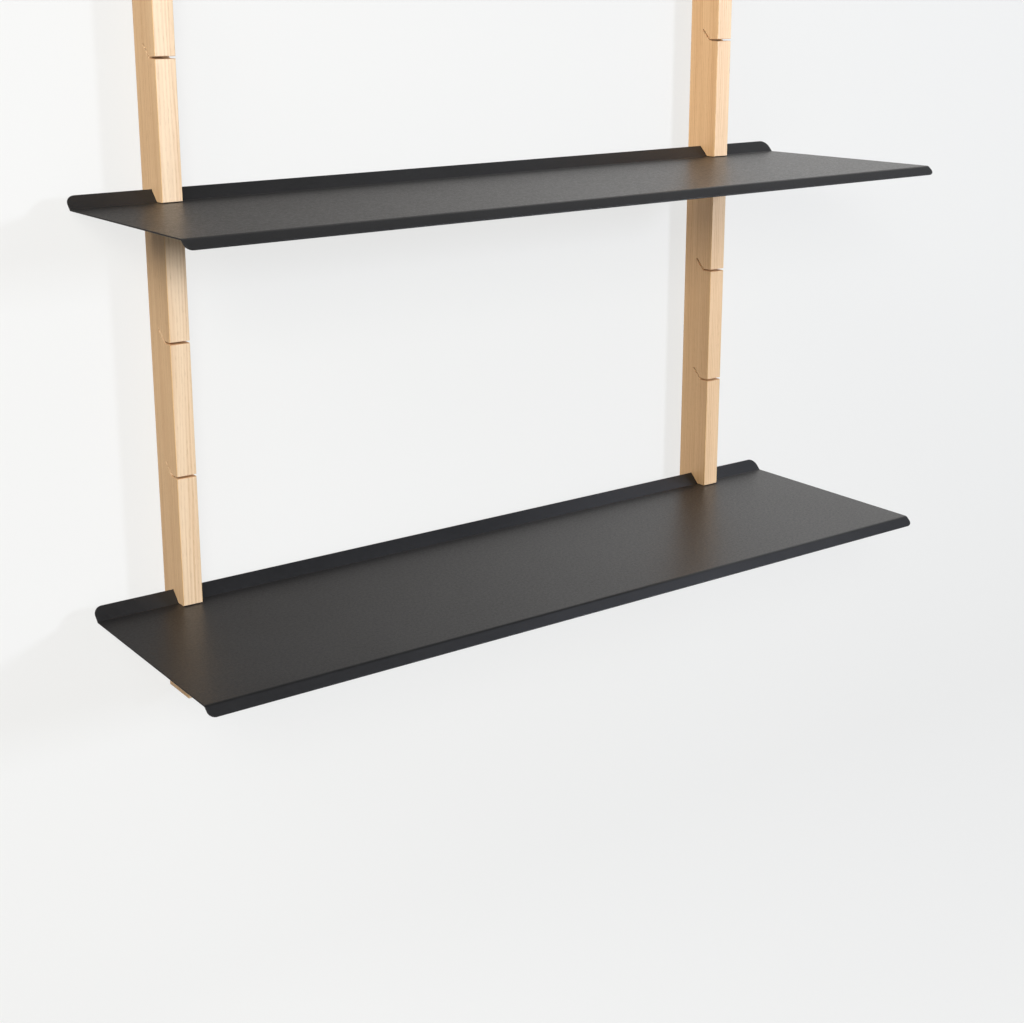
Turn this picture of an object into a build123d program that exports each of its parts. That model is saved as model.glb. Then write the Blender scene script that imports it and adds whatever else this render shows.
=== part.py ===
"""Wall shelf rack: two kerfed oak uprights carry two bent steel shelves.

Millimetres. X runs right along the wall, the wall is the plane Y = 0 and the front faces -Y,
Z is up. The origin lies in the wall plane, midway between the four wall screws.

Each shelf is a sheet with its rear edge bent up and its front edge bent down. It slides in
lengthwise, through kerfs of the same bent shape in the front of both uprights. The uprights
hang on wall screws by keyhole plates let into their backs.
"""
import os
from math import cos, radians, sin, tan

from build123d import *

# ---- Uprights -------------------------------------------------------------------------------
upright_spacing = 784.0    # between the centres of the two uprights
upright_width = 23.5
upright_depth = 50.0       # from the wall to the front face
arris_radius = 0.8         # softened edges of the bar
kerf_count = 5
kerf_pitch = 150.0         # height from one kerf to the next
end_margin = 110.0         # from the last kerf to the end of the upright, top and bottom

# ---- Shelves --------------------------------------------------------------------------------
shelf_length = 1000.0
shelf_reach = 300.0        # from the wall to the front bend
bend_inset = 36.0          # from the wall to the rear bend
sheet = 1.5                # thickness of the steel
flange_inside_radius = 1.5 # of the rear bend
flange_angle = 45.0        # rear flange, turned up
flange_leg = 18.8          # from the bend to its edge
flange_corner = 10.5       # rounded corners of the flange
lip_inside_radius = 4.0    # of the front bend
lip_angle = 40.0           # front lip, turned down
lip_leg = 13.6             # from the bend to its edge
lip_corner = 8.0           # rounded corners of the lip
edge_radius = 0.3          # softened edges of the coated sheet
lower_shelf_kerf = 0       # kerfs counted from the bottom
upper_shelf_kerf = 3

# ---- Kerfs ----------------------------------------------------------------------------------
kerf_clearance = 0.45      # either side of the sheet
kerf_lift = 0.2            # the sheet sits this much below the middle of its kerf
kerf_end_clearance = 0.8   # past the edge of the flange
mouth_flare = 0.4          # the mouth opens by this much above and below
mouth_flare_depth = 1.2

# ---- Keyhole plates and their screws --------------------------------------------------------
hanger_inset = 50.0        # from the end of the upright to the keyhole's entry
plate_length = 50.0
plate_width = 16.0
plate_thickness = 2.0
plate_clearance = 0.1      # round the plate in its recess
entry_radius = 5.0         # lets the head of the wall screw in
neck_width = 5.0           # takes the shank of the wall screw
keyhole_travel = 12.0      # from the entry up to the top of the neck
entry_drop = 5.0           # the entry lies below the middle of the plate
head_pocket_width = 11.0   # room for the wall screw's head behind the plate
head_pocket_depth = 6.0
screw_inset = 6.0          # from the end of the plate to the screw
screw_radius = 1.5
screw_head_radius = 2.9
screw_length = 16.0
screw_point = 3.0          # length of the pointed end
screw_clearance = 0.05     # round the shank in the wood and the plate
recess_span = 3.2          # cross recess in the head
recess_width = 0.8
recess_depth = 1.1

# ---- Worked out from the sizes above --------------------------------------------------------
upright_length = 2 * end_margin + (kerf_count - 1) * kerf_pitch
kerf_levels = [(n - (kerf_count - 1) / 2) * kerf_pitch for n in range(kerf_count)]
kerf_width = sheet + 2 * kerf_clearance
flange_bend = flange_inside_radius + sheet / 2
lip_bend = lip_inside_radius + sheet / 2
flange_straight = flange_leg - flange_bend * tan(radians(flange_angle / 2))
lip_straight = lip_leg - lip_bend * tan(radians(lip_angle / 2))
flange_corner_radius = min(flange_corner, flange_straight - 2 * edge_radius)
lip_corner_radius = min(lip_corner, lip_straight - 2 * edge_radius)
entry_height = upright_length / 2 - hanger_inset
screw_offset = plate_length / 2 - screw_inset
head_depth = screw_head_radius - screw_radius

flange_slope = (cos(radians(flange_angle)), sin(radians(flange_angle)))
lip_slope = (cos(radians(lip_angle)), sin(radians(lip_angle)))
sides = {"left": -upright_spacing / 2, "right": upright_spacing / 2}
hangers = {"bottom": -entry_height + entry_drop, "top": entry_height + entry_drop}
ends = {"lower": -screw_offset, "upper": screw_offset}

os.makedirs("parts", exist_ok=True)


def back_plane(x, z, depth=0.0):
    """Plane parallel to the wall, that far into the wood, with its normal to the front."""
    return Plane(origin=(x, -depth, z), x_dir=(1, 0, 0), z_dir=(0, -1, 0))


def back_hole(x, z):
    """Where a hole starts that is drilled into the back of the rack, towards the front."""
    return Plane(origin=(x, 0, z), x_dir=(1, 0, 0), z_dir=(0, 1, 0)).location


def is_corner(face):
    """Whether a round face is a corner of the blank rather than a bend."""
    return face.bounding_box().size.X < shelf_length / 2


def is_rim(edge):
    """Whether an edge of a cut face runs along the sheet rather than through its thickness."""
    return edge.geom_type != GeomType.LINE or edge.length > 2 * sheet


# ---- Uprights: bars with kerfs in front and recesses behind ----------------------------------
for side, x_side in sides.items():
    with BuildPart() as upright:
        with BuildSketch(Plane.XY.offset(-upright_length / 2)):
            with Locations((x_side, -upright_depth / 2)):
                Rectangle(upright_width, upright_depth)
        extrude(amount=upright_length)
        fillet(upright.edges(), arris_radius)

        # Kerfs: in from the front face, then up and back, with a round end.
        kerf_leg = flange_leg + kerf_end_clearance - kerf_width / 2
        with BuildSketch(Plane.YZ.offset(x_side)):
            for level in kerf_levels:
                z_kerf = level + kerf_lift
                kerf_end = (
                    -bend_inset + kerf_leg * flange_slope[0],
                    z_kerf + kerf_leg * flange_slope[1],
                )
                with BuildLine():
                    FilletPolyline(
                        (-upright_depth - kerf_width, z_kerf),
                        (-bend_inset, z_kerf),
                        kerf_end,
                        radius=flange_bend,
                    )
                trace(line_width=kerf_width)
                with Locations(kerf_end):
                    Circle(kerf_width / 2)
                with BuildLine():
                    Polyline(
                        (-upright_depth, z_kerf + kerf_width / 2 + mouth_flare),
                        (-upright_depth + mouth_flare_depth, z_kerf + kerf_width / 2),
                        (-upright_depth + mouth_flare_depth, z_kerf - kerf_width / 2),
                        (-upright_depth, z_kerf - kerf_width / 2 - mouth_flare),
                        close=True,
                    )
                make_face()
        extrude(amount=upright_width, both=True, mode=Mode.SUBTRACT)

        # Recesses for the keyhole plates, head pockets behind them and pilot holes.
        for z_plate in hangers.values():
            with BuildSketch(back_plane(x_side, z_plate)):
                SlotOverall(plate_length + 2 * plate_clearance, plate_width + 2 * plate_clearance, 90)
            extrude(amount=plate_thickness, mode=Mode.SUBTRACT)
            with BuildSketch(back_plane(x_side, z_plate, plate_thickness)):
                with Locations((0, keyhole_travel / 2 - entry_drop)):
                    SlotCenterToCenter(keyhole_travel, head_pocket_width, 90)
            extrude(amount=head_pocket_depth, mode=Mode.SUBTRACT)
            with BuildSketch(back_plane(x_side, z_plate, plate_thickness)):
                with Locations(*[(0, offset) for offset in ends.values()]):
                    Circle(screw_radius + screw_clearance)
            extrude(amount=screw_length - plate_thickness + screw_clearance, mode=Mode.SUBTRACT)
    upright.part.label = f"{side}_upright"
    export_step(upright.part, f"parts/{side}_upright.step")

# ---- Shelves: one bent sheet each -------------------------------------------------------------
for shelf_name, kerf_number in (("lower", lower_shelf_kerf), ("upper", upper_shelf_kerf)):
    level = kerf_levels[kerf_number]
    with BuildPart() as shelf:
        with BuildSketch(Plane.YZ):
            with BuildLine():
                FilletPolyline(
                    (-shelf_reach - lip_leg * lip_slope[0], level - lip_leg * lip_slope[1]),
                    (-shelf_reach, level),
                    (-bend_inset, level),
                    (
                        -bend_inset + flange_leg * flange_slope[0],
                        level + flange_leg * flange_slope[1],
                    ),
                    radius=(lip_bend, flange_bend),
                )
            trace(line_width=sheet)
        extrude(amount=shelf_length / 2, both=True)
        tips = shelf.edges().filter_by(GeomType.LINE).filter_by(lambda e: abs(e.length - sheet) < 1e-3)
        front_tips = tips.sort_by(Axis.Y)[:2]
        rear_tips = tips.sort_by(Axis.Y)[2:]
        fillet(front_tips, lip_corner_radius)
        fillet(rear_tips, flange_corner_radius)

        # Soften both rims of the sheet, all the way round.
        cut_faces = shelf.faces().filter_by(Axis.X)
        cut_faces += shelf.faces().sort_by(Axis.Y)[0:1] + shelf.faces().sort_by(Axis.Y)[-1:]
        cut_faces += shelf.faces().filter_by(GeomType.CYLINDER).filter_by(is_corner)
        fillet(cut_faces.edges().filter_by(is_rim), edge_radius)
    shelf.part.label = f"{shelf_name}_shelf"
    export_step(shelf.part, f"parts/{shelf_name}_shelf.step")

# ---- Keyhole plates, flush with the backs of the uprights --------------------------------------
for side, x_side in sides.items():
    for hanger, z_plate in hangers.items():
        with BuildPart() as plate:
            with BuildSketch(back_plane(x_side, z_plate)):
                SlotOverall(plate_length, plate_width, 90)
                with Locations((0, -entry_drop)):
                    Circle(entry_radius, mode=Mode.SUBTRACT)
                with Locations((0, keyhole_travel / 2 - entry_drop)):
                    SlotCenterToCenter(keyhole_travel, neck_width, 90, mode=Mode.SUBTRACT)
            extrude(amount=plate_thickness)
            with Locations(*[back_hole(x_side, z_plate + offset) for offset in ends.values()]):
                CounterSinkHole(
                    screw_radius + screw_clearance,
                    screw_head_radius,
                    depth=plate_thickness,
                    counter_sink_angle=90,
                )
        plate.part.label = f"{side}_{hanger}_hanger_plate"
        export_step(plate.part, f"parts/{side}_{hanger}_hanger_plate.step")

# ---- Countersunk screws that hold the plates -----------------------------------------------------
for side, x_side in sides.items():
    for hanger, z_plate in hangers.items():
        for end, offset in ends.items():
            z_screw = z_plate + offset
            with BuildPart() as screw:
                with BuildSketch(Plane(origin=(x_side, 0, z_screw), z_dir=(0, 0, 1))):
                    with BuildLine():
                        Polyline(
                            (0, 0),
                            (screw_head_radius, 0),
                            (screw_radius, -head_depth),
                            (screw_radius, -screw_length + screw_point),
                            (0, -screw_length),
                            close=True,
                        )
                    make_face()
                revolve(axis=Axis((x_side, 0, z_screw), (0, 1, 0)))
                with BuildSketch(back_plane(x_side, z_screw)):
                    Rectangle(recess_span, recess_width)
                    Rectangle(recess_width, recess_span)
                extrude(amount=recess_depth, mode=Mode.SUBTRACT)
            screw.part.label = f"{side}_{hanger}_hanger_screw_{end}"
            export_step(screw.part, f"parts/{side}_{hanger}_hanger_screw_{end}.step")
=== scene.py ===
"""Looks for a wall shelf rack: oak uprights, powder-coated shelves, zinc-plated hanger plates and screws.

Metres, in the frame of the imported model: X right along the wall, the wall is the plane Y = 0 and
the front faces -Y, Z is up.
"""
from math import pi, radians

import bpy
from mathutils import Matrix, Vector


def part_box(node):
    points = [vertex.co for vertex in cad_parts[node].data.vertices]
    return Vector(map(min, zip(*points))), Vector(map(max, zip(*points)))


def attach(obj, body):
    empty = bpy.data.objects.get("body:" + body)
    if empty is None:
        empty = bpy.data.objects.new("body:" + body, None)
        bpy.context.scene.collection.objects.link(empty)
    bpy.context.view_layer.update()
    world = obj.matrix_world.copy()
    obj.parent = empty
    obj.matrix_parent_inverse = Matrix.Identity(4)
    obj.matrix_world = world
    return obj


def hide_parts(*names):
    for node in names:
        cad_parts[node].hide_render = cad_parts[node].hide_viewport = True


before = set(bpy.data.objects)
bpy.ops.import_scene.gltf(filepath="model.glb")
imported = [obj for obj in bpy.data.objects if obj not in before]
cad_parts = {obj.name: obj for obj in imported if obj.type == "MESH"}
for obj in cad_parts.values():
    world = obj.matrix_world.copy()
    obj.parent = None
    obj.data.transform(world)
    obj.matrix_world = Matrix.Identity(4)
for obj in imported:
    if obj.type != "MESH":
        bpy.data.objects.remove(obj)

bl_info = {
    "name": "Wall Shelf Rack",
    "version": (1, 0, 0),
    "blender": (4, 5, 0),
    "location": "3D View > Sidebar > Shelf Rack",
    "description": "Finishes the uprights, shelves and hangers of a wall shelf rack, and lights them",
    "category": "Object",
}

UPRIGHTS = ("left_upright", "right_upright")
SHELVES = ("lower_shelf", "upper_shelf")
PLATE_COUNT = 4
SCREW_COUNT = 8
MM = 0.001


# ---- Sizes and colours -----------------------------------------------------------------------
class OakSettings(bpy.types.PropertyGroup):
    """The oiled oak of the uprights."""

    pale: bpy.props.FloatVectorProperty(
        name="Pale wood",
        description="Colour of the dense late wood between the rings",
        subtype="COLOR",
        default=(0.86, 0.610, 0.375),
        min=0,
        max=1,
    )
    dark: bpy.props.FloatVectorProperty(
        name="Dark wood",
        description="Colour of the porous early wood",
        subtype="COLOR",
        default=(0.69, 0.430, 0.225),
        min=0,
        max=1,
    )
    pore: bpy.props.FloatVectorProperty(
        name="Pores",
        description="Colour inside the open pores",
        subtype="COLOR",
        default=(0.42, 0.235, 0.095),
        min=0,
        max=1,
    )
    worn: bpy.props.FloatVectorProperty(
        name="Worn arris",
        description="Colour of the softened long edges, deeper than that of the faces",
        subtype="COLOR",
        default=(0.72, 0.43, 0.17),
        min=0,
        max=1,
    )
    # Colour of sawn wood, also used as painted shade deep in the kerfs and recesses.
    sawn_and_shade: bpy.props.FloatVectorProperty(
        name="Sawn wood",
        description="Colour inside the kerfs and recesses",
        subtype="COLOR",
        default=(0.56, 0.33, 0.15),
        min=0,
        max=1,
    )
    # Painted sheen: this factor makes the front faces paler and less saturated than the sides, standing in
    # for the light and gloss that fall on them.
    front_painted_sheen: bpy.props.FloatVectorProperty(
        name="Front tone",
        description="Tone of the front faces against the sides: their colour is multiplied by this",
        default=(1.0, 1.10, 1.27),
        min=0.5,
        max=2.0,
    )
    ring_spacing: bpy.props.FloatProperty(
        name="Ring spacing",
        description="Growth of one year",
        unit="LENGTH",
        default=2.3 * MM,
        min=0.5 * MM,
        max=10 * MM,
    )


class CoatSettings(bpy.types.PropertyGroup):
    """The fine-textured powder coat of the shelves."""

    colour: bpy.props.FloatVectorProperty(
        name="Coat",
        description="Colour of the powder coat",
        subtype="COLOR",
        default=(0.008, 0.008, 0.0086),
        min=0,
        max=1,
    )
    worn: bpy.props.FloatVectorProperty(
        name="Worn coat",
        description="Colour that the tips of the pimples and the paler clouds tend to",
        subtype="COLOR",
        default=(0.020, 0.020, 0.0215),
        min=0,
        max=1,
    )
    grain: bpy.props.FloatProperty(
        name="Grain",
        description="Size of the pimples of the coat",
        unit="LENGTH",
        default=0.7 * MM,
        min=0.1 * MM,
        max=5 * MM,
    )
    roughness: bpy.props.FloatProperty(
        name="Roughness",
        description="Roughness of the coat between its pimples",
        subtype="FACTOR",
        default=0.37,
        min=0,
        max=1,
    )


class SteelSettings(bpy.types.PropertyGroup):
    """The zinc-plated steel of the hanger plates and screws."""

    colour: bpy.props.FloatVectorProperty(
        name="Zinc",
        description="Colour of the plating",
        subtype="COLOR",
        default=(0.66, 0.67, 0.69),
        min=0,
        max=1,
    )
    stain: bpy.props.FloatVectorProperty(
        name="Stain",
        description="Colour that the stains of the plating tend to",
        subtype="COLOR",
        default=(0.50, 0.49, 0.43),
        min=0,
        max=1,
    )
    roughness: bpy.props.FloatProperty(
        name="Roughness",
        description="Roughness of the plating",
        subtype="FACTOR",
        default=0.34,
        min=0,
        max=1,
    )


class PlateSettings(bpy.types.PropertyGroup):
    """The punched keyhole plates that the uprights hang by."""

    entry_radius: bpy.props.FloatProperty(
        name="Entry",
        description="Radius of the round entry",
        unit="LENGTH",
        default=5.0 * MM,
        min=MM,
        max=20 * MM,
    )
    neck_width: bpy.props.FloatProperty(
        name="Neck",
        description="Width of the neck above the entry",
        unit="LENGTH",
        default=5.0 * MM,
        min=MM,
        max=20 * MM,
    )
    travel: bpy.props.FloatProperty(
        name="Travel",
        description="From the middle of the entry up to the top of the neck",
        unit="LENGTH",
        default=12.0 * MM,
        min=MM,
        max=50 * MM,
    )
    entry_drop: bpy.props.FloatProperty(
        name="Entry drop",
        description="From the middle of the plate down to the middle of the entry",
        unit="LENGTH",
        default=5.0 * MM,
        min=0,
        max=50 * MM,
    )
    screw_offset: bpy.props.FloatProperty(
        name="Screw holes",
        description="From the middle of the plate to each screw",
        unit="LENGTH",
        default=19.0 * MM,
        min=MM,
        max=100 * MM,
    )
    hole_radius: bpy.props.FloatProperty(
        name="Hole",
        description="Radius of the screw holes",
        unit="LENGTH",
        default=1.55 * MM,
        min=0.5 * MM,
        max=5 * MM,
    )
    edge: bpy.props.FloatProperty(
        name="Edge",
        description="Width of the edges softened by the punch",
        unit="LENGTH",
        default=0.22 * MM,
        min=0,
        max=MM,
    )


class ScrewSettings(bpy.types.PropertyGroup):
    """The countersunk wood screws that hold the plates."""

    head_radius: bpy.props.FloatProperty(
        name="Head",
        description="Radius of the head",
        unit="LENGTH",
        default=2.9 * MM,
        min=MM,
        max=10 * MM,
    )
    shank_radius: bpy.props.FloatProperty(
        name="Shank",
        description="Radius of the plain shank and of the thread's crest",
        unit="LENGTH",
        default=1.5 * MM,
        min=MM,
        max=10 * MM,
    )
    core_radius: bpy.props.FloatProperty(
        name="Core",
        description="Radius at the root of the thread",
        unit="LENGTH",
        default=1.12 * MM,
        min=0.5 * MM,
        max=10 * MM,
    )
    length: bpy.props.FloatProperty(
        name="Length",
        description="Length over all",
        unit="LENGTH",
        default=16.0 * MM,
        min=5 * MM,
        max=100 * MM,
    )
    pitch: bpy.props.FloatProperty(
        name="Pitch",
        description="Rise of the thread in one turn",
        unit="LENGTH",
        default=1.35 * MM,
        min=0.3 * MM,
        max=5 * MM,
    )
    recess_span: bpy.props.FloatProperty(
        name="Cross recess",
        description="Length of each slot of the cross",
        unit="LENGTH",
        default=3.2 * MM,
        min=MM,
        max=10 * MM,
    )


class StudioSettings(bpy.types.PropertyGroup):
    """Wall, floor, lights and camera."""

    wall_colour: bpy.props.FloatVectorProperty(
        name="Wall",
        description="Colour of the wall and the floor",
        subtype="COLOR",
        default=(0.885, 0.885, 0.875),
        min=0,
        max=1,
    )
    wall_glow: bpy.props.FloatProperty(
        name="Wall glow",
        description="Share of the wall's brightness that is its own, which lightens the shadows on it",
        subtype="FACTOR",
        default=0.82,
        min=0,
        max=1,
    )
    room_light: bpy.props.FloatProperty(
        name="Room light",
        description="Brightness of the room around the rack, in its shading and its reflections",
        default=0.17,
        min=0,
        max=10,
    )
    key_power: bpy.props.FloatProperty(
        name="Key light",
        description="Power of the lamp to the right in front",
        unit="POWER",
        default=68.0,
        min=0,
        max=2000,
    )
    fill_power: bpy.props.FloatProperty(
        name="Fill light",
        description="Power of the broad light to the left",
        unit="POWER",
        default=46.0,
        min=0,
        max=2000,
    )
    front_power: bpy.props.FloatProperty(
        name="Front fill",
        description="Power of the low light in front, which lifts the lower ends",
        unit="POWER",
        default=10.0,
        min=0,
        max=2000,
    )
    left_front_power: bpy.props.FloatProperty(
        name="Left front light",
        description="Power of the light to the left in front",
        unit="POWER",
        default=55.0,
        min=0,
        max=2000,
    )
    upper_right_power: bpy.props.FloatProperty(
        name="Upper right light",
        description="Power of the faint bluish light up on the right",
        unit="POWER",
        default=6.0,
        min=0,
        max=2000,
    )
    back_power: bpy.props.FloatProperty(
        name="Back light",
        description="Power of the light behind the wall, for the backs of the pieces",
        unit="POWER",
        default=50.0,
        min=0,
        max=2000,
    )
    camera_place: bpy.props.FloatVectorProperty(
        name="Camera",
        description="Where the camera stands",
        subtype="TRANSLATION",
        default=(-1.104, -1.612, 0.3536),
    )
    camera_turn: bpy.props.FloatVectorProperty(
        name="Camera turn",
        description="How the camera is turned",
        subtype="EULER",
        default=(radians(75.856), radians(0.663), radians(-33.909)),
    )
    lens: bpy.props.FloatProperty(
        name="Lens",
        description="Focal length on a sensor 36 mm wide",
        default=56.575,
        min=10,
        max=300,
    )
    shift: bpy.props.FloatVectorProperty(
        name="Shift",
        description="How far the view is shifted, as a share of its width",
        size=2,
        default=(0.0731, -0.1027),
    )


SETTINGS = {
    "rack_oak": OakSettings,
    "rack_coat": CoatSettings,
    "rack_steel": SteelSettings,
    "rack_plate": PlateSettings,
    "rack_screw": ScrewSettings,
    "rack_studio": StudioSettings,
}


# ---- Node helpers ----------------------------------------------------------------------------
def node(tree, kind, inputs=None, **settings):
    """Adds a node. An input is a value, or an output socket to link."""
    made = tree.nodes.new(kind)
    for name, value in settings.items():
        setattr(made, name, value)
    for name, value in (inputs or {}).items():
        if isinstance(value, bpy.types.NodeSocket):
            tree.links.new(value, made.inputs[name])
        else:
            made.inputs[name].default_value = value
    return made


def maths(tree, operation, *values, clamp=False):
    made = node(tree, "ShaderNodeMath", dict(enumerate(values)), operation=operation, use_clamp=clamp)
    return made.outputs[0]


def ease(tree, value, low, high, to_low=0.0, to_high=1.0):
    """Goes smoothly from one value to another as the input goes from low to high."""
    inputs = {"Value": value, "From Min": low, "From Max": high, "To Min": to_low, "To Max": to_high}
    made = node(tree, "ShaderNodeMapRange", inputs, interpolation_type="SMOOTHSTEP")
    return made.outputs[0]


def mixed(tree, factor, first, second, blend="MIX"):
    made = node(tree, "ShaderNodeMix", data_type="RGBA", blend_type=blend, clamp_factor=True)
    for place, value in ((0, factor), (6, first), (7, second)):
        if isinstance(value, bpy.types.NodeSocket):
            tree.links.new(value, made.inputs[place])
        else:
            made.inputs[place].default_value = value
    return made.outputs[2]


def scaled(tree, vector, scale):
    """The vector with each coordinate multiplied, to stretch a pattern."""
    inputs = {0: vector, 1: scale}
    return node(tree, "ShaderNodeVectorMath", inputs, operation="MULTIPLY").outputs[0]


def subtract(tree, first, second):
    """The first vector less the second."""
    inputs = {0: first, 1: second}
    return node(tree, "ShaderNodeVectorMath", inputs, operation="SUBTRACT").outputs[0]


def noise(tree, vector, scale, detail=2.0, roughness=0.5, distortion=0.0):
    inputs = {
        "Vector": vector,
        "Scale": scale,
        "Detail": detail,
        "Roughness": roughness,
        "Distortion": distortion,
    }
    return node(tree, "ShaderNodeTexNoise", inputs).outputs["Fac"]


def rgba(colour):
    return (*colour, 1.0)


def group(name, inputs, outputs):
    """A new shader node group. Returns its tree, the outputs of its input node and its output node."""
    tree = bpy.data.node_groups.new(name, "ShaderNodeTree")
    for label, kind, default in inputs:
        socket = tree.interface.new_socket(label, in_out="INPUT", socket_type=f"NodeSocket{kind}")
        if default is not None:
            socket.default_value = default
    for label, kind in outputs:
        tree.interface.new_socket(label, in_out="OUTPUT", socket_type=f"NodeSocket{kind}")
    given = node(tree, "NodeGroupInput").outputs
    result = node(tree, "NodeGroupOutput")
    return tree, given, result


def material(name):
    """A new material. Returns it, its tree, its Principled node and the object coordinates."""
    made = bpy.data.materials.new(name)
    made.use_nodes = True
    tree = made.node_tree
    shader = tree.nodes["Principled BSDF"]
    place = node(tree, "ShaderNodeTexCoord").outputs["Object"]
    return made, tree, shader, place


def use_group(tree, shared, **inputs):
    """Places a shared node group. Underscores in the names of inputs stand for spaces."""
    made = node(tree, "ShaderNodeGroup", node_tree=shared)
    for name, value in inputs.items():
        socket = made.inputs[name.replace("_", " ")]
        if isinstance(value, bpy.types.NodeSocket):
            tree.links.new(value, socket)
        else:
            socket.default_value = value
    return made.outputs


def finish_surface(tree, shader, outputs, strength, distance):
    """Links a group's colour, roughness and height to a shader."""
    tree.links.new(outputs["Colour"], shader.inputs["Base Color"])
    tree.links.new(outputs["Roughness"], shader.inputs["Roughness"])
    inputs = {"Height": outputs["Height"], "Strength": strength, "Distance": distance}
    bump = node(tree, "ShaderNodeBump", inputs)
    tree.links.new(bump.outputs[0], shader.inputs["Normal"])


# ---- Modelling helpers -----------------------------------------------------------------------
def make_active(piece):
    """Selects one object and nothing else."""
    bpy.ops.object.select_all(action="DESELECT")
    piece.select_set(True)
    bpy.context.view_layer.objects.active = piece


def settle(piece):
    """Brings an object's place, turn and scale into its mesh."""
    make_active(piece)
    bpy.ops.object.transform_apply(location=True, rotation=True, scale=True)
    return piece


def pick(piece, wanted):
    """Goes to edit mode with only those vertices selected whose place passes the test."""
    make_active(piece)
    bpy.ops.object.mode_set(mode="EDIT")
    bpy.ops.mesh.select_mode(type="VERT")
    bpy.ops.mesh.select_all(action="DESELECT")
    bpy.ops.object.mode_set(mode="OBJECT")
    for vertex in piece.data.vertices:
        vertex.select = wanted(vertex.co)
    bpy.ops.object.mode_set(mode="EDIT")


def slot_block(width, length, depth, place):
    """A block along Y with the outline of an upright slot."""
    bpy.ops.object.select_all(action="DESELECT")
    bpy.ops.mesh.primitive_cylinder_add(vertices=64, radius=width / 2, depth=depth, rotation=(pi / 2, 0, 0))
    block = settle(bpy.context.active_object)
    for end in (1, -1):
        pick(block, lambda point: point.z * end > 0.01 * MM)
        bpy.ops.transform.translate(value=(0, 0, end * (length - width) / 2))
        bpy.ops.object.mode_set(mode="OBJECT")
    block.location = place
    return settle(block)


def cut_out(piece, cutter):
    """Takes the cutter's shape out of a piece."""
    modifier = piece.modifiers.new("cut", "BOOLEAN")
    modifier.operation = "DIFFERENCE"
    modifier.solver = "EXACT"
    modifier.object = cutter
    make_active(piece)
    bpy.ops.object.modifier_apply(modifier=modifier.name)
    bpy.data.objects.remove(cutter)


def tidy_mesh(piece, angle=30.0):
    """Merges doubles, turns the normals outwards and shades smoothly except at the edges."""
    make_active(piece)
    bpy.ops.object.mode_set(mode="EDIT")
    bpy.ops.mesh.select_mode(type="VERT")
    bpy.ops.mesh.select_all(action="SELECT")
    bpy.ops.mesh.remove_doubles(threshold=0.002 * MM)
    bpy.ops.mesh.normals_make_consistent(inside=False)
    bpy.ops.object.mode_set(mode="OBJECT")
    bpy.ops.object.shade_smooth_by_angle(angle=radians(angle))


def fit_copy(master, name, finish):
    """Puts a copy of a piece in the place of the CAD node it stands for."""
    low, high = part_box(name)
    make_active(master)
    bpy.ops.object.duplicate(linked=False)
    piece = bpy.context.active_object
    piece.name = piece.data.name = f"{name}_detailed"
    piece.location = ((low.x + high.x) / 2, 0, (low.z + high.z) / 2)
    settle(piece)
    piece.data.materials.clear()
    piece.data.materials.append(finish)
    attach(piece, "uprights")
    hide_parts(name)
    return piece


# ---- Shared effects --------------------------------------------------------------------------
def bar_edges():
    """Distance from a bar's surface to its nearest long arris, and depth below its outer faces."""
    if "Bar Edges" in bpy.data.node_groups:
        return bpy.data.node_groups["Bar Edges"]
    inputs = [("Place", "Vector", None), ("Middle", "Vector", None), ("Half Size", "Vector", None)]
    outputs = [("Arris", "Float"), ("Depth", "Float")]
    tree, given, result = group("Bar Edges", inputs, outputs)
    away = subtract(tree, given["Place"], given["Middle"])
    size = node(tree, "ShaderNodeVectorMath", {0: away}, operation="ABSOLUTE").outputs[0]
    inside = subtract(tree, given["Half Size"], size)
    across, through, along = node(tree, "ShaderNodeSeparateXYZ", {0: inside}).outputs
    near = maths(tree, "MINIMUM", across, through)
    far = maths(tree, "MAXIMUM", across, through)
    tree.links.new(far, result.inputs["Arris"])
    tree.links.new(maths(tree, "MINIMUM", near, along), result.inputs["Depth"])
    return tree


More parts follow.
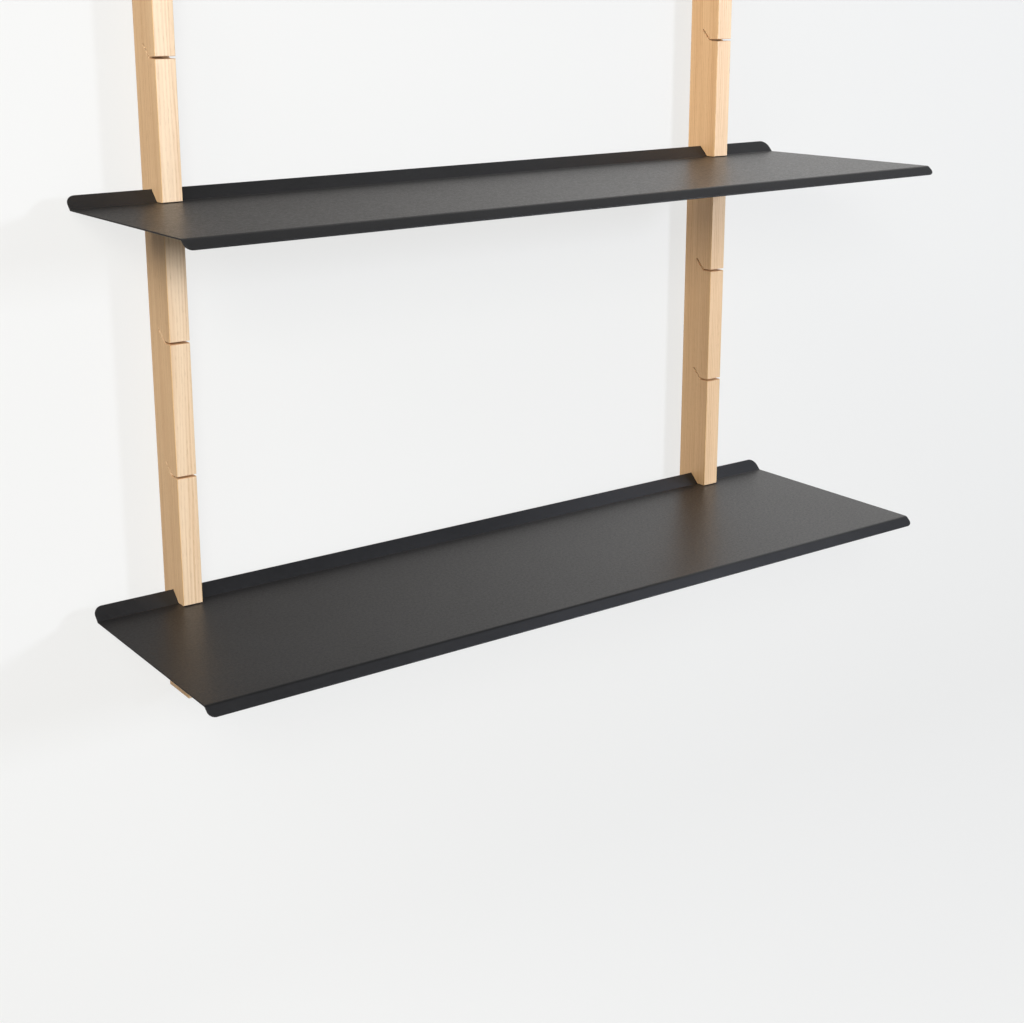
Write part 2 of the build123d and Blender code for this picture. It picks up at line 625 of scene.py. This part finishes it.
def oak_grain():
    """Growth rings, pores, rays and slow changes of colour along a board."""
    if "Oak Grain" in bpy.data.node_groups:
        return bpy.data.node_groups["Oak Grain"]
    inputs = [
        ("Place", "Vector", None),
        ("Pith", "Vector", None),
        ("Ring Spacing", "Float", 0.002),
        ("Pale", "Color", None),
        ("Dark", "Color", None),
        ("Pore", "Color", None),
    ]
    outputs = [("Colour", "Color"), ("Roughness", "Float"), ("Height", "Float")]
    tree, given, result = group("Oak Grain", inputs, outputs)
    place = subtract(tree, given["Place"], given["Pith"])

    # Rings: distance from the pith, wandering slowly along the board.
    drift = noise(tree, scaled(tree, place, (14.0, 14.0, 2.2)), 1.0, 3.0, 0.45)
    wobble = noise(tree, scaled(tree, place, (160.0, 160.0, 9.0)), 1.0, 2.0)
    flat = node(tree, "ShaderNodeVectorMath", {0: scaled(tree, place, (1.0, 1.0, 0.0))}, operation="LENGTH")
    radius = maths(tree, "MULTIPLY_ADD", drift, 0.016, flat.outputs["Value"])
    radius = maths(tree, "MULTIPLY_ADD", wobble, 0.0012, radius)
    year = maths(tree, "DIVIDE", radius, given["Ring Spacing"])
    season = maths(tree, "FRACT", year)
    early = maths(tree, "MULTIPLY", ease(tree, season, 0.0, 0.12), ease(tree, season, 0.25, 0.75, 1.0, 0.0))
    whole = maths(tree, "FLOOR", year)
    yearly = node(tree, "ShaderNodeTexWhiteNoise", {"W": whole}, noise_dimensions="1D").outputs["Value"]
    early = maths(tree, "MULTIPLY", early, ease(tree, yearly, 0.0, 1.0, 0.35, 1.0))

    # Fibres: fine streaks along the board.
    fibre = noise(tree, scaled(tree, place, (1500.0, 1500.0, 22.0)), 1.0, 3.0, 0.6)
    streak = noise(tree, scaled(tree, place, (420.0, 420.0, 5.0)), 1.0, 3.0, 0.55)
    broad = noise(tree, scaled(tree, place, (55.0, 55.0, 3.0)), 1.0, 2.0)

    # Pores: short dark dashes, most of them in the early wood.
    dashes = noise(tree, scaled(tree, place, (2600.0, 2600.0, 110.0)), 1.0, 1.0)
    pores = maths(tree, "MULTIPLY", ease(tree, dashes, 0.60, 0.68), ease(tree, early, 0.0, 0.5, 0.25, 1.0))

    # Rays: pale flecks, short along the board.
    flecks = noise(tree, scaled(tree, place, (520.0, 140.0, 75.0)), 1.0, 2.0, 0.5, 0.6)
    rays = ease(tree, flecks, 0.66, 0.72)

    # Shade: 0 is the pale wood and 1 the dark.
    shade = maths(tree, "MULTIPLY", ease(tree, streak, 0.35, 0.75), 0.45)
    shade = maths(tree, "MULTIPLY_ADD", early, 0.55, shade)
    shade = maths(tree, "MULTIPLY_ADD", ease(tree, broad, 0.35, 0.75), 0.30, shade)
    lighter = maths(tree, "MULTIPLY", ease(tree, fibre, 0.45, 0.75), 0.22)
    shade = maths(tree, "SUBTRACT", shade, lighter, clamp=True)
    colour = mixed(tree, shade, given["Pale"], given["Dark"])
    colour = mixed(tree, maths(tree, "MULTIPLY", rays, 0.35), colour, given["Pale"])
    colour = mixed(tree, maths(tree, "MULTIPLY", pores, 0.40), colour, given["Pore"])
    tree.links.new(colour, result.inputs["Colour"])

    rough = maths(tree, "MULTIPLY_ADD", pores, 0.25, ease(tree, fibre, 0.3, 0.7, 0.42, 0.54))
    tree.links.new(rough, result.inputs["Roughness"])
    height = maths(tree, "MULTIPLY_ADD", fibre, 0.35, maths(tree, "MULTIPLY", early, -0.25))
    height = maths(tree, "SUBTRACT", height, pores)
    tree.links.new(height, result.inputs["Height"])
    return tree


def powder_grain():
    """The pimples of a fine-textured powder coat, and slow changes of its shade."""
    if "Powder Grain" in bpy.data.node_groups:
        return bpy.data.node_groups["Powder Grain"]
    inputs = [
        ("Place", "Vector", None),
        ("Grain", "Float", 0.001),
        ("Coat", "Color", None),
        ("Worn", "Color", None),
        ("Matt", "Float", 0.5),
    ]
    outputs = [("Colour", "Color"), ("Roughness", "Float"), ("Height", "Float")]
    tree, given, result = group("Powder Grain", inputs, outputs)
    size = maths(tree, "DIVIDE", 1.0, given["Grain"])
    pimples = noise(tree, given["Place"], size, 2.0, 0.55)
    swirl = noise(tree, given["Place"], maths(tree, "MULTIPLY", size, 0.22), 3.0, 0.6)
    cloud = noise(tree, given["Place"], 9.0, 3.0, 0.55)
    light = maths(tree, "MULTIPLY", ease(tree, pimples, 0.5, 0.8), 0.35)
    light = maths(tree, "MULTIPLY_ADD", ease(tree, cloud, 0.35, 0.7), 0.22, light)
    tree.links.new(mixed(tree, light, given["Coat"], given["Worn"]), result.inputs["Colour"])
    rough = maths(tree, "ADD", given["Matt"], ease(tree, swirl, 0.3, 0.7, -0.04, 0.05))
    rough = maths(tree, "ADD", rough, ease(tree, pimples, 0.35, 0.7, 0.04, -0.05))
    tree.links.new(rough, result.inputs["Roughness"])
    tree.links.new(maths(tree, "MULTIPLY_ADD", swirl, 0.6, pimples), result.inputs["Height"])
    return tree


def plated_surface():
    """The faint crystals, rolling marks and stains of zinc plate."""
    if "Plated Surface" in bpy.data.node_groups:
        return bpy.data.node_groups["Plated Surface"]
    inputs = [
        ("Place", "Vector", None),
        ("Zinc", "Color", None),
        ("Stain", "Color", None),
        ("Rough", "Float", 0.3),
    ]
    outputs = [("Colour", "Color"), ("Roughness", "Float"), ("Height", "Float")]
    tree, given, result = group("Plated Surface", inputs, outputs)
    marks = noise(tree, scaled(tree, given["Place"], (5200.0, 5200.0, 260.0)), 1.0, 2.0)
    stains = noise(tree, given["Place"], 260.0, 3.0, 0.6)
    speckle = noise(tree, given["Place"], 2600.0, 2.0)
    mask = maths(tree, "MULTIPLY", ease(tree, stains, 0.45, 0.75), 0.5)
    colour = mixed(tree, mask, given["Zinc"], given["Stain"])
    tree.links.new(colour, result.inputs["Colour"])
    rough = maths(tree, "ADD", given["Rough"], ease(tree, speckle, 0.3, 0.7, -0.06, 0.08))
    rough = maths(tree, "MULTIPLY_ADD", mask, 0.2, rough)
    tree.links.new(rough, result.inputs["Roughness"])
    tree.links.new(maths(tree, "MULTIPLY_ADD", marks, 0.6, speckle), result.inputs["Height"])
    return tree


# ---- Operators -------------------------------------------------------------------------------
class RACK_OT_uprights(bpy.types.Operator):
    """Gives both uprights their oiled oak"""

    bl_idname = "rack.uprights"
    bl_label = "Uprights"

    def execute(self, context):
        oak = context.scene.rack_oak
        piths = {"left_upright": (-0.052, -0.094, 0.3), "right_upright": (0.061, -0.087, -0.7)}
        # Each upright's colours are multiplied by its tint. The right one's warmer tint is partly the
        # board's own tone and partly painted light, standing in for the warmer, less white light on its
        # side.
        board_and_light_tints = {"left_upright": (1.0, 0.975, 0.93), "right_upright": (1.0, 0.89, 0.74)}
        for name in UPRIGHTS:
            low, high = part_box(name)
            middle, half = (low + high) / 2, (high - low) / 2
            made, tree, shader, place = material(f"{name}_oak")
            pith, tone = Vector(piths[name]), board_and_light_tints[name]
            grain = use_group(
                tree,
                oak_grain(),
                Place=place,
                Pith=(middle.x + pith.x, middle.y + pith.y, pith.z),
                Ring_Spacing=oak.ring_spacing,
                Pale=rgba([shade * part for shade, part in zip(oak.pale, tone)]),
                Dark=rgba([shade * part for shade, part in zip(oak.dark, tone)]),
                Pore=rgba(oak.pore),
            )
            # Painted sheen: faces turned to the front have their colour multiplied by the front factor,
            # standing in for the light and gloss that fall on them.
            normal = node(tree, "ShaderNodeNewGeometry").outputs["Normal"]
            facing = node(tree, "ShaderNodeSeparateXYZ", {0: normal}).outputs[1]
            front = ease(tree, facing, -0.95, -0.35, 1.0, 0.0)
            grain_with_painted_sheen = mixed(tree, front, grain["Colour"], rgba(oak.front_painted_sheen), blend="MULTIPLY")
            edges = use_group(tree, bar_edges(), Place=place, Middle=middle, Half_Size=half)
            worn = ease(tree, edges["Arris"], 0.4 * MM, 1.3 * MM, 0.65, 0.0)
            colour = mixed(tree, worn, grain_with_painted_sheen, rgba(oak.worn))
            # Deeper below the outer faces the colour goes further towards the sawn colour: partly the sawn
            # wood, partly painted shade in the kerfs and recesses.
            sawn_and_shade = ease(tree, edges["Depth"], 0.6 * MM, 3.0 * MM, 0.0, 0.6)
            colour = mixed(tree, sawn_and_shade, colour, rgba(oak.sawn_and_shade))
            tree.links.new(colour, shader.inputs["Base Color"])
            rough = maths(tree, "MULTIPLY_ADD", sawn_and_shade, 0.3, grain["Roughness"])
            tree.links.new(rough, shader.inputs["Roughness"])
            shader.inputs["Specular IOR Level"].default_value = 0.8
            inputs = {"Height": grain["Height"], "Strength": 0.5, "Distance": 0.12 * MM}
            bump = node(tree, "ShaderNodeBump", inputs)
            tree.links.new(bump.outputs[0], shader.inputs["Normal"])
            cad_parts[name].material_slots[0].material = made
        return {"FINISHED"}


class RACK_OT_shelves(bpy.types.Operator):
    """Gives both shelves their powder coat"""

    bl_idname = "rack.shelves"
    bl_label = "Shelves"

    def execute(self, context):
        coat = context.scene.rack_coat
        made, tree, shader, place = material("black_powder_coat_finish")
        grain = use_group(
            tree,
            powder_grain(),
            Place=place,
            Grain=coat.grain,
            Coat=rgba(coat.colour),
            Worn=rgba(coat.worn),
            Matt=coat.roughness,
        )
        shader.inputs["Specular IOR Level"].default_value = 0.5
        finish_surface(tree, shader, grain, 0.35, 0.12 * MM)
        for name in SHELVES:
            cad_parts[name].material_slots[0].material = made
        return {"FINISHED"}


def zinc_finish(steel):
    """The zinc plate shared by the hanger plates and their screws."""
    name = "zinc_plate_finish"
    if name in bpy.data.materials:
        return bpy.data.materials[name]
    made, tree, shader, place = material(name)
    shader.inputs["Metallic"].default_value = 1.0
    plated = use_group(
        tree,
        plated_surface(),
        Place=place,
        Zinc=rgba(steel.colour),
        Stain=rgba(steel.stain),
        Rough=steel.roughness,
    )
    finish_surface(tree, shader, plated, 0.3, 0.03 * MM)
    return made


class RACK_OT_plates(bpy.types.Operator):
    """Models the four punched keyhole plates in the backs of the uprights"""

    bl_idname = "rack.plates"
    bl_label = "Hanger Plates"

    def execute(self, context):
        names = [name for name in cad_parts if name.endswith("hanger_plate")]
        if len(names) != PLATE_COUNT:
            self.report({"ERROR"}, f"The frame has no set of {PLATE_COUNT} hanger plates")
            return {"CANCELLED"}
        plate = context.scene.rack_plate
        low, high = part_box(names[0])
        width, thick, length = high - low
        master = slot_block(width, length, thick, (0, -thick / 2, 0))
        deep = 3 * thick
        bpy.ops.mesh.primitive_cylinder_add(
            vertices=64,
            radius=plate.entry_radius,
            depth=deep,
            location=(0, -thick / 2, -plate.entry_drop),
            rotation=(pi / 2, 0, 0),
        )
        cut_out(master, settle(context.active_object))
        neck_middle = plate.travel / 2 - plate.entry_drop
        neck_length = plate.travel + plate.neck_width
        cut_out(master, slot_block(plate.neck_width, neck_length, deep, (0, -thick / 2, neck_middle)))
        for height in (-plate.screw_offset, plate.screw_offset):
            self.countersink(context, master, plate, height, thick)
        bevel = master.modifiers.new("punched edges", "BEVEL")
        bevel.width = plate.edge
        bevel.segments = 3
        bevel.limit_method = "ANGLE"
        bevel.angle_limit = radians(40)
        make_active(master)
        bpy.ops.object.modifier_apply(modifier=bevel.name)
        tidy_mesh(master)
        for name in names:
            fit_copy(master, name, zinc_finish(context.scene.rack_steel))
        bpy.data.objects.remove(master)
        return {"FINISHED"}

    def countersink(self, context, master, plate, height, thick):
        """A screw hole with a countersink at the back."""
        bpy.ops.mesh.primitive_cylinder_add(
            vertices=48,
            radius=plate.hole_radius,
            depth=3 * thick,
            location=(0, -thick / 2, height),
            rotation=(pi / 2, 0, 0),
        )
        cut_out(master, settle(context.active_object))
        above = 0.3 * MM
        head = context.scene.rack_screw.head_radius
        sink = head - plate.hole_radius
        bpy.ops.mesh.primitive_cone_add(
            vertices=48,
            radius1=head + above,
            radius2=plate.hole_radius,
            depth=sink + above,
            location=(0, (above - sink) / 2, height),
            rotation=(pi / 2, 0, 0),
        )
        cut_out(master, settle(context.active_object))


class RACK_OT_screws(bpy.types.Operator):
    """Models the eight countersunk screws that hold the plates"""

    bl_idname = "rack.screws"
    bl_label = "Screws"

    def execute(self, context):
        names = [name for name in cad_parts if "hanger_screw" in name]
        if len(names) != SCREW_COUNT:
            self.report({"ERROR"}, f"The frame has no set of {SCREW_COUNT} hanger screws")
            return {"CANCELLED"}
        screw = context.scene.rack_screw
        master = self.turn_body(context, screw)
        self.cut_recess(context, screw, master)
        thread = self.wind_thread(context, screw)
        make_active(master)
        thread.select_set(True)
        bpy.ops.object.join()
        tidy_mesh(master, 40.0)
        master.rotation_euler = (-pi / 2, 0, 0)
        settle(master)
        for name in names:
            fit_copy(master, name, zinc_finish(context.scene.rack_steel))
        bpy.data.objects.remove(master)
        return {"FINISHED"}

    def turn_body(self, context, screw):
        """Head, plain neck, core and point, turned about Z with the head's top at the origin."""
        bpy.ops.object.select_all(action="DESELECT")
        bpy.ops.mesh.primitive_circle_add(vertices=48, radius=screw.head_radius, fill_type="NGON")
        body = context.active_object
        rim, neck, neck_and_taper, point, tip = 0.12 * MM, 1.6 * MM, 2.1 * MM, 3.2 * MM, 0.05 * MM
        tip_radius = 0.04 * MM
        head_depth = screw.head_radius - screw.shank_radius
        steps = (
            (rim, screw.head_radius),
            (head_depth, screw.shank_radius),
            (head_depth + neck, screw.shank_radius),
            (head_depth + neck_and_taper, screw.core_radius),
            (screw.length - point, screw.core_radius),
            (screw.length - tip, tip_radius),
        )
        bpy.ops.object.mode_set(mode="EDIT")
        bpy.ops.mesh.select_mode(type="FACE")
        bpy.ops.mesh.select_all(action="SELECT")
        depth, radius = 0.0, screw.head_radius
        for next_depth, next_radius in steps:
            bpy.ops.mesh.extrude_region_move(TRANSFORM_OT_translate={"value": (0, 0, depth - next_depth)})
            ratio = next_radius / radius
            bpy.ops.transform.resize(value=(ratio, ratio, 1), center_override=(0, 0, -next_depth))
            depth, radius = next_depth, next_radius
        bpy.ops.mesh.merge(type="CENTER")
        bpy.ops.mesh.select_all(action="SELECT")
        bpy.ops.mesh.normals_make_consistent(inside=False)
        bpy.ops.object.mode_set(mode="OBJECT")
        return body

    def cut_recess(self, context, screw, body):
        """A cross recess that narrows towards its bottom."""
        deep, width, narrowing = 1.1 * MM, 0.8 * MM, 0.55
        for size in ((screw.recess_span, width), (width, screw.recess_span)):
            bpy.ops.mesh.primitive_cube_add(size=1, location=(0, 0, 0), scale=(*size, 2 * deep))
            blade = settle(context.active_object)
            pick(blade, lambda point: point.z < 0)
            bpy.ops.transform.resize(value=(narrowing, narrowing, 1), center_override=(0, 0, -deep))
            bpy.ops.object.mode_set(mode="OBJECT")
            cut_out(body, blade)

    def wind_thread(self, context, screw):
        """A closed coil whose crest reaches the shank's radius."""
        tooth, turns, steps_per_turn, start = 0.30 * MM, 7, 24, 3.4 * MM
        bpy.ops.object.select_all(action="DESELECT")
        bpy.ops.mesh.primitive_circle_add(
            vertices=3,
            radius=tooth,
            fill_type="NOTHING",
            location=(screw.shank_radius - tooth, 0, -start),
            rotation=(pi / 2, pi / 2, 0),
        )
        coil = settle(context.active_object)
        winding = coil.modifiers.new("winding", "SCREW")
        winding.axis = "Z"
        winding.angle = 2 * pi * turns
        winding.screw_offset = -screw.pitch * turns
        winding.steps = winding.render_steps = steps_per_turn * turns
        winding.use_merge_vertices = False
        make_active(coil)
        bpy.ops.object.modifier_apply(modifier=winding.name)
        bpy.ops.object.mode_set(mode="EDIT")
        bpy.ops.mesh.select_all(action="SELECT")
        bpy.ops.mesh.fill_holes(sides=4)
        bpy.ops.mesh.select_all(action="SELECT")
        bpy.ops.mesh.normals_make_consistent(inside=False)
        bpy.ops.object.mode_set(mode="OBJECT")
        return coil


class RACK_OT_studio(bpy.types.Operator):
    """Makes the wall, the floor, the lights and the camera"""

    bl_idname = "rack.studio"
    bl_label = "Studio"

    def execute(self, context):
        studio = context.scene.rack_studio
        self.build_backdrop(context, studio)
        self.build_reflector(context, studio)
        self.place_lights(context, studio)
        self.place_camera(context, studio)
        context.scene.view_settings.view_transform = "Standard"
        return {"FINISHED"}

    def build_backdrop(self, context, studio):
        """A wall that curves into a floor. It is clear from behind, throws no shadow and isn't reflected."""
        bpy.ops.object.select_all(action="DESELECT")
        bpy.ops.mesh.primitive_plane_add(size=1, location=(0, 0, 0))
        backdrop = context.active_object
        backdrop.name = "backdrop"
        wall_gap, floor_level, wall_top = 0.6 * MM, -1.30, 3.0
        width, depth, cove = 14.0, 9.0, 0.5
        for corner in backdrop.data.vertices:
            corner.co = (
                corner.co.x * width,
                wall_gap if corner.co.y > 0 else wall_gap - depth,
                floor_level,
            )
        bpy.ops.object.mode_set(mode="EDIT")
        bpy.ops.mesh.select_all(action="DESELECT")
        bpy.ops.object.mode_set(mode="OBJECT")
        for edge in backdrop.data.edges:
            ends = [backdrop.data.vertices[i].co.y for i in edge.vertices]
            edge.select = min(ends) > 0
        bpy.ops.object.mode_set(mode="EDIT")
        bpy.ops.mesh.select_mode(type="EDGE")
        bpy.ops.mesh.extrude_region_move(TRANSFORM_OT_translate={"value": (0, 0, wall_top - floor_level)})
        bpy.ops.mesh.select_all(action="DESELECT")
        bpy.ops.object.mode_set(mode="OBJECT")
        for edge in backdrop.data.edges:
            ends = [backdrop.data.vertices[i].co for i in edge.vertices]
            edge.select = all(e.y > 0 and abs(e.z - floor_level) < MM for e in ends)
        bpy.ops.object.mode_set(mode="EDIT")
        bpy.ops.mesh.bevel(offset=cove, segments=24, affect="EDGES")
        bpy.ops.mesh.select_all(action="SELECT")
        bpy.ops.object.mode_set(mode="OBJECT")
        bpy.ops.object.shade_smooth()
        backdrop.visible_diffuse = False
        backdrop.visible_glossy = False

        made, tree, shader, place = material("pale_wall")
        own, lit = studio.wall_glow, 1 - studio.wall_glow
        shader.inputs["Base Color"].default_value = rgba([lit * part for part in studio.wall_colour])
        across = node(tree, "ShaderNodeSeparateXYZ", {0: place}).outputs[0]
        side = ease(tree, across, -0.8, 1.4)
        left_tone, right_tone = 1.03, 0.945
        left = rgba([left_tone * part for part in studio.wall_colour])
        right = rgba([right_tone * part for part in studio.wall_colour])
        tree.links.new(mixed(tree, side, left, right), shader.inputs["Emission Color"])
        shader.inputs["Emission Strength"].default_value = own
        shader.inputs["Roughness"].default_value = 0.9
        shader.inputs["Specular IOR Level"].default_value = 0.0
        clear = node(tree, "ShaderNodeBsdfTransparent")
        facing = node(tree, "ShaderNodeNewGeometry").outputs["Backfacing"]
        shadow = node(tree, "ShaderNodeLightPath").outputs["Is Shadow Ray"]
        seen_through = maths(tree, "MAXIMUM", facing, shadow)
        mix = node(tree, "ShaderNodeMixShader", {0: seen_through, 1: shader.outputs[0], 2: clear.outputs[0]})
        tree.links.new(mix.outputs[0], tree.nodes["Material Output"].inputs["Surface"])
        backdrop.data.materials.append(made)

    def build_reflector(self, context, studio):
        """A glowing card behind the wall, unseen by the camera, for the light the wall gives back.

        It is brighter to the right, and weaker on matt surfaces than in reflections.
        """
        bpy.ops.object.select_all(action="DESELECT")
        bpy.ops.mesh.primitive_plane_add(size=1, location=(0, 0, 0))
        card = context.active_object
        card.name = "reflector"
        card_gap, low, high, half_width = 4 * MM, -1.2, 2.2, 4.0
        for corner in card.data.vertices:
            corner.co = (
                half_width if corner.co.x > 0 else -half_width,
                card_gap,
                high if corner.co.y > 0 else low,
            )
        card.visible_camera = False
        card.visible_shadow = False
        card.visible_transmission = False
        made, tree, shader, place = material("reflector_glow")
        across = node(tree, "ShaderNodeSeparateXYZ", {0: place}).outputs[0]
        side = ease(tree, across, -0.62, 0.75)
        dim, bright = (0.30, 0.285, 0.27, 1.0), (0.98, 0.97, 0.955, 1.0)
        tree.links.new(mixed(tree, side, dim, bright), shader.inputs["Emission Color"])
        matt = node(tree, "ShaderNodeLightPath").outputs["Is Diffuse Ray"]
        matt_loss = 0.6
        strength = maths(tree, "MULTIPLY_ADD", matt, -matt_loss, 1.0)
        tree.links.new(strength, shader.inputs["Emission Strength"])
        shader.inputs["Base Color"].default_value = (0.0, 0.0, 0.0, 1.0)
        shader.inputs["Specular IOR Level"].default_value = 0.0
        card.data.materials.append(made)

    def place_lights(self, context, studio):
        """The room, which reflections see brightest in front of the wall, and six area lights."""
        in_front, beside, matt_share = 2.4, 0.3, 0.6
        world = bpy.data.worlds.new("room_light")
        world.use_nodes = True
        tree = world.node_tree
        rays = node(tree, "ShaderNodeLightPath").outputs
        sky = node(tree, "ShaderNodeTexCoord").outputs["Generated"]
        depth = node(tree, "ShaderNodeSeparateXYZ", {0: sky}).outputs[1]
        room = studio.room_light
        gleam = ease(tree, depth, -0.50, -0.05, room * in_front, room * beside)
        level = ease(tree, rays["Is Glossy Ray"], 0.0, 1.0, room * matt_share, gleam)
        strength = ease(tree, rays["Is Camera Ray"], 0.0, 1.0, level, studio.wall_colour[0])
        tree.links.new(strength, tree.nodes["Background"].inputs["Strength"])
        tree.nodes["Background"].inputs["Color"].default_value = (1.0, 1.0, 1.0, 1.0)
        context.scene.world = world
        # Name, place, size, power and colour of each light.
        lights = (
            ("key", (1.94, -2.71, 0.68), (0.30, 0.45), studio.key_power, (0.92, 1.0, 1.13)),
            ("left_fill", (-2.30, -0.75, 1.95), (1.6, 1.6), studio.fill_power, (1.0, 0.95, 0.88)),
            ("left_front", (-1.90, -2.60, 1.10), (0.8, 0.8), studio.left_front_power, (1.0, 0.98, 0.92)),
            ("front_fill", (-0.9, -3.2, -0.5), (1.6, 1.2), studio.front_power, (1.0, 0.97, 0.93)),
            ("upper_right", (1.5, -1.45, 1.5), (1.5, 0.7), studio.upper_right_power, (0.88, 0.94, 1.15)),
            ("back_fill", (0.6, 2.4, 0.8), (1.6, 1.6), studio.back_power, (1.0, 1.0, 1.0)),
        )
        for name, place, size, power, colour in lights:
            bpy.ops.object.light_add(type="AREA", location=place)
            light = context.active_object
            light.name = name
            light.data.shape = "RECTANGLE"
            light.data.size, light.data.size_y = size
            light.data.energy = power
            light.data.color = colour
            light.rotation_euler = (-Vector(place)).to_track_quat("-Z", "Y").to_euler()
            light.visible_glossy = name != "back_fill"

    def place_camera(self, context, studio):
        bpy.ops.object.camera_add(location=studio.camera_place, rotation=studio.camera_turn)
        camera = context.active_object
        camera.data.lens = studio.lens
        camera.data.shift_x, camera.data.shift_y = studio.shift
        camera.data.clip_end = 50.0
        context.scene.camera = camera


OPERATORS = (RACK_OT_uprights, RACK_OT_shelves, RACK_OT_plates, RACK_OT_screws, RACK_OT_studio)


class RACK_PT_sidebar(bpy.types.Panel):
    """Buttons and settings of the rack"""

    bl_idname = "RACK_PT_sidebar"
    bl_label = "Shelf Rack"
    bl_space_type = "VIEW_3D"
    bl_region_type = "UI"
    bl_category = "Shelf Rack"

    def draw(self, context):
        for operator in OPERATORS:
            self.layout.operator(operator.bl_idname)
        for name in SETTINGS:
            settings = getattr(context.scene, name)
            box = self.layout.box()
            for label in settings.__annotations__:
                box.prop(settings, label)


def register():
    for kind in (*SETTINGS.values(), *OPERATORS, RACK_PT_sidebar):
        bpy.utils.register_class(kind)
    for name, kind in SETTINGS.items():
        setattr(bpy.types.Scene, name, bpy.props.PointerProperty(type=kind))


def unregister():
    for name in SETTINGS:
        delattr(bpy.types.Scene, name)
    for kind in reversed((*SETTINGS.values(), *OPERATORS, RACK_PT_sidebar)):
        bpy.utils.unregister_class(kind)


def main():
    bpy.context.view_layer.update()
    register()
    bpy.ops.rack.uprights()
    bpy.ops.rack.shelves()
    bpy.ops.rack.plates()
    bpy.ops.rack.screws()
    bpy.ops.rack.studio()


if __name__ == "__main__":
    main()
